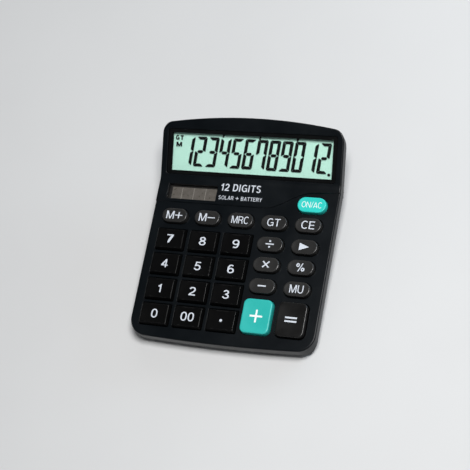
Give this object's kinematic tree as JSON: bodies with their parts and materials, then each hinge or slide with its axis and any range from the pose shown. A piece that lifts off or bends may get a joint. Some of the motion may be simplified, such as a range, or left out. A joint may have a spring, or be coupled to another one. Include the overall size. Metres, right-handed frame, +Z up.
{
  "type": "desk calculator",
  "caption": "Wedge-shaped desk calculator with a tilted display, solar window, raised travelling keys and a battery stand underneath.",
  "frame": {"origin": "centre of the footprint box, on the surface that the feet rest on", "axes": "+X to the user's right, +Y from the user towards the display, +Z up"},
  "size_m": [0.12, 0.14, 0.04],
  "materials": {
    "case_black": "fine spark-eroded texture, matte",
    "clear_lens": "clear polished acrylic",
    "polariser": "neutral film, satin",
    "lcd_glass": "clear glass",
    "lcd_mint": "mint reflector film behind the display",
    "holder_white": "white moulded plastic",
    "flex_amber": "amber flexible film",
    "solar_brown": "amorphous silicon on glass, brown grey",
    "board_tan": "phenolic paper board",
    "carbon_black": "printed carbon, matte",
    "silicone_grey": "translucent grey silicone",
    "epoxy_black": "glossy epoxy",
    "capacitor_blue": "shrink sleeve",
    "ceramic_tan": "ceramic chip",
    "led_red": "red diffused resin",
    "steel": "nickel plated",
    "steel_black": "black zinc plated",
    "battery_blue": "printed sleeve, plain",
    "wire_red": "PVC insulation",
    "rubber_black": "soft matte rubber",
    "key_number_black": "glossy black",
    "key_function_dark": "satin warm dark grey",
    "key_turquoise": "satin turquoise"
  },
  "bodies": {
    "root": {"upper_case": "case_black", "lower_case": "case_black", "display_lens": "clear_lens", "lcd_front_polariser": "polariser", "lcd_front_glass": "lcd_glass", "lcd_rear_glass": "lcd_glass", "lcd_reflector": "lcd_mint", "lcd_holder": "holder_white", "heat_seal_connector": "flex_amber", "solar_window": "clear_lens", "solar_cell": "solar_brown", "main_pcb": "board_tan", "pcb_key_pads": "carbon_black", "dome_sheet": "silicone_grey", "carbon_contacts": "carbon_black", "chip_blob": "epoxy_black", "capacitor": "capacitor_blue", "resistors": "ceramic_tan", "regulator_led": "led_red", "pcb_screws": "steel", "case_screws": "steel_black", "battery": "battery_blue", "battery_contact": "steel", "battery_spring": "steel", "battery_wires": "wire_red", "solar_wires": "wire_red", "rubber_feet": "rubber_black"},
    "key_m_plus": {"key_m_plus": "key_function_dark"},
    "key_m_minus": {"key_m_minus": "key_function_dark"},
    "key_mrc": {"key_mrc": "key_function_dark"},
    "key_gt": {"key_gt": "key_function_dark"},
    "key_ce": {"key_ce": "key_function_dark"},
    "key_on_ac": {"key_on_ac": "key_turquoise"},
    "key_7": {"key_7": "key_number_black"},
    "key_8": {"key_8": "key_number_black"},
    "key_9": {"key_9": "key_number_black"},
    "key_4": {"key_4": "key_number_black"},
    "key_5": {"key_5": "key_number_black"},
    "key_6": {"key_6": "key_number_black"},
    "key_1": {"key_1": "key_number_black"},
    "key_2": {"key_2": "key_number_black"},
    "key_3": {"key_3": "key_number_black"},
    "key_0": {"key_0": "key_number_black"},
    "key_00": {"key_00": "key_number_black"},
    "key_point": {"key_point": "key_number_black"},
    "key_divide": {"key_divide": "key_function_dark"},
    "key_backspace": {"key_backspace": "key_function_dark"},
    "key_multiply": {"key_multiply": "key_function_dark"},
    "key_percent": {"key_percent": "key_function_dark"},
    "key_minus": {"key_minus": "key_function_dark"},
    "key_markup": {"key_markup": "key_function_dark"},
    "key_plus": {"key_plus": "key_turquoise"},
    "key_equals": {"key_equals": "key_number_black"},
    "battery_door": {"battery_door": "case_black"}
  },
  "joints": [
    {"name": "m_plus_press", "type": "slide", "parent": "root", "child": "key_m_plus", "axis": [0, 0.0872, -0.9962], "range_m": [0, 0.0015], "stiffness_N_per_m": 380, "springref_m": -0.0006, "deforming": ["dome_sheet", "carbon_contacts"]},
    {"name": "m_minus_press", "type": "slide", "parent": "root", "child": "key_m_minus", "axis": [0, 0.0872, -0.9962], "range_m": [0, 0.0015], "stiffness_N_per_m": 380, "springref_m": -0.0006, "deforming": ["dome_sheet", "carbon_contacts"]},
    {"name": "mrc_press", "type": "slide", "parent": "root", "child": "key_mrc", "axis": [0, 0.0872, -0.9962], "range_m": [0, 0.0015], "stiffness_N_per_m": 380, "springref_m": -0.0006, "deforming": ["dome_sheet", "carbon_contacts"]},
    {"name": "gt_press", "type": "slide", "parent": "root", "child": "key_gt", "axis": [0, 0.0872, -0.9962], "range_m": [0, 0.0015], "stiffness_N_per_m": 380, "springref_m": -0.0006, "deforming": ["dome_sheet", "carbon_contacts"]},
    {"name": "ce_press", "type": "slide", "parent": "root", "child": "key_ce", "axis": [0, 0.0872, -0.9962], "range_m": [0, 0.0015], "stiffness_N_per_m": 380, "springref_m": -0.0006, "deforming": ["dome_sheet", "carbon_contacts"]},
    {"name": "on_ac_press", "type": "slide", "parent": "root", "child": "key_on_ac", "axis": [0, 0.0872, -0.9962], "range_m": [0, 0.0015], "stiffness_N_per_m": 380, "springref_m": -0.0006, "deforming": ["dome_sheet", "carbon_contacts"]},
    {"name": "7_press", "type": "slide", "parent": "root", "child": "key_7", "axis": [0, 0.0872, -0.9962], "range_m": [0, 0.0015], "stiffness_N_per_m": 380, "springref_m": -0.0006, "deforming": ["dome_sheet", "carbon_contacts"]},
    {"name": "8_press", "type": "slide", "parent": "root", "child": "key_8", "axis": [0, 0.0872, -0.9962], "range_m": [0, 0.0015], "stiffness_N_per_m": 380, "springref_m": -0.0006, "deforming": ["dome_sheet", "carbon_contacts"]},
    {"name": "9_press", "type": "slide", "parent": "root", "child": "key_9", "axis": [0, 0.0872, -0.9962], "range_m": [0, 0.0015], "stiffness_N_per_m": 380, "springref_m": -0.0006, "deforming": ["dome_sheet", "carbon_contacts"]},
    {"name": "4_press", "type": "slide", "parent": "root", "child": "key_4", "axis": [0, 0.0872, -0.9962], "range_m": [0, 0.0015], "stiffness_N_per_m": 380, "springref_m": -0.0006, "deforming": ["dome_sheet", "carbon_contacts"]},
    {"name": "5_press", "type": "slide", "parent": "root", "child": "key_5", "axis": [0, 0.0872, -0.9962], "range_m": [0, 0.0015], "stiffness_N_per_m": 380, "springref_m": -0.0006, "deforming": ["dome_sheet", "carbon_contacts"]},
    {"name": "6_press", "type": "slide", "parent": "root", "child": "key_6", "axis": [0, 0.0872, -0.9962], "range_m": [0, 0.0015], "stiffness_N_per_m": 380, "springref_m": -0.0006, "deforming": ["dome_sheet", "carbon_contacts"]},
    {"name": "1_press", "type": "slide", "parent": "root", "child": "key_1", "axis": [0, 0.0872, -0.9962], "range_m": [0, 0.0015], "stiffness_N_per_m": 380, "springref_m": -0.0006, "deforming": ["dome_sheet", "carbon_contacts"]},
    {"name": "2_press", "type": "slide", "parent": "root", "child": "key_2", "axis": [0, 0.0872, -0.9962], "range_m": [0, 0.0015], "stiffness_N_per_m": 380, "springref_m": -0.0006, "deforming": ["dome_sheet", "carbon_contacts"]},
    {"name": "3_press", "type": "slide", "parent": "root", "child": "key_3", "axis": [0, 0.0872, -0.9962], "range_m": [0, 0.0015], "stiffness_N_per_m": 380, "springref_m": -0.0006, "deforming": ["dome_sheet", "carbon_contacts"]},
    {"name": "0_press", "type": "slide", "parent": "root", "child": "key_0", "axis": [0, 0.0872, -0.9962], "range_m": [0, 0.0015], "stiffness_N_per_m": 380, "springref_m": -0.0006, "deforming": ["dome_sheet", "carbon_contacts"]},
    {"name": "00_press", "type": "slide", "parent": "root", "child": "key_00", "axis": [0, 0.0872, -0.9962], "range_m": [0, 0.0015], "stiffness_N_per_m": 380, "springref_m": -0.0006, "deforming": ["dome_sheet", "carbon_contacts"]},
    {"name": "point_press", "type": "slide", "parent": "root", "child": "key_point", "axis": [0, 0.0872, -0.9962], "range_m": [0, 0.0015], "stiffness_N_per_m": 380, "springref_m": -0.0006, "deforming": ["dome_sheet", "carbon_contacts"]},
    {"name": "divide_press", "type": "slide", "parent": "root", "child": "key_divide", "axis": [0, 0.0872, -0.9962], "range_m": [0, 0.0015], "stiffness_N_per_m": 380, "springref_m": -0.0006, "deforming": ["dome_sheet", "carbon_contacts"]},
    {"name": "backspace_press", "type": "slide", "parent": "root", "child": "key_backspace", "axis": [0, 0.0872, -0.9962], "range_m": [0, 0.0015], "stiffness_N_per_m": 380, "springref_m": -0.0006, "deforming": ["dome_sheet", "carbon_contacts"]},
    {"name": "multiply_press", "type": "slide", "parent": "root", "child": "key_multiply", "axis": [0, 0.0872, -0.9962], "range_m": [0, 0.0015], "stiffness_N_per_m": 380, "springref_m": -0.0006, "deforming": ["dome_sheet", "carbon_contacts"]},
    {"name": "percent_press", "type": "slide", "parent": "root", "child": "key_percent", "axis": [0, 0.0872, -0.9962], "range_m": [0, 0.0015], "stiffness_N_per_m": 380, "springref_m": -0.0006, "deforming": ["dome_sheet", "carbon_contacts"]},
    {"name": "minus_press", "type": "slide", "parent": "root", "child": "key_minus", "axis": [0, 0.0872, -0.9962], "range_m": [0, 0.0015], "stiffness_N_per_m": 380, "springref_m": -0.0006, "deforming": ["dome_sheet", "carbon_contacts"]},
    {"name": "markup_press", "type": "slide", "parent": "root", "child": "key_markup", "axis": [0, 0.0872, -0.9962], "range_m": [0, 0.0015], "stiffness_N_per_m": 380, "springref_m": -0.0006, "deforming": ["dome_sheet", "carbon_contacts"]},
    {"name": "plus_press", "type": "slide", "parent": "root", "child": "key_plus", "axis": [0, 0.0872, -0.9962], "range_m": [0, 0.0015], "stiffness_N_per_m": 380, "springref_m": -0.0006, "deforming": ["dome_sheet", "carbon_contacts"]},
    {"name": "equals_press", "type": "slide", "parent": "root", "child": "key_equals", "axis": [0, 0.0872, -0.9962], "range_m": [0, 0.0015], "stiffness_N_per_m": 380, "springref_m": -0.0006, "deforming": ["dome_sheet", "carbon_contacts"]},
    {"name": "battery_door_hinge", "type": "hinge", "parent": "root", "child": "battery_door", "pos_m": [0, 0.0386, 0.0023], "axis": [-1, 0, 0], "range_deg": [0, 100]}
  ]
}
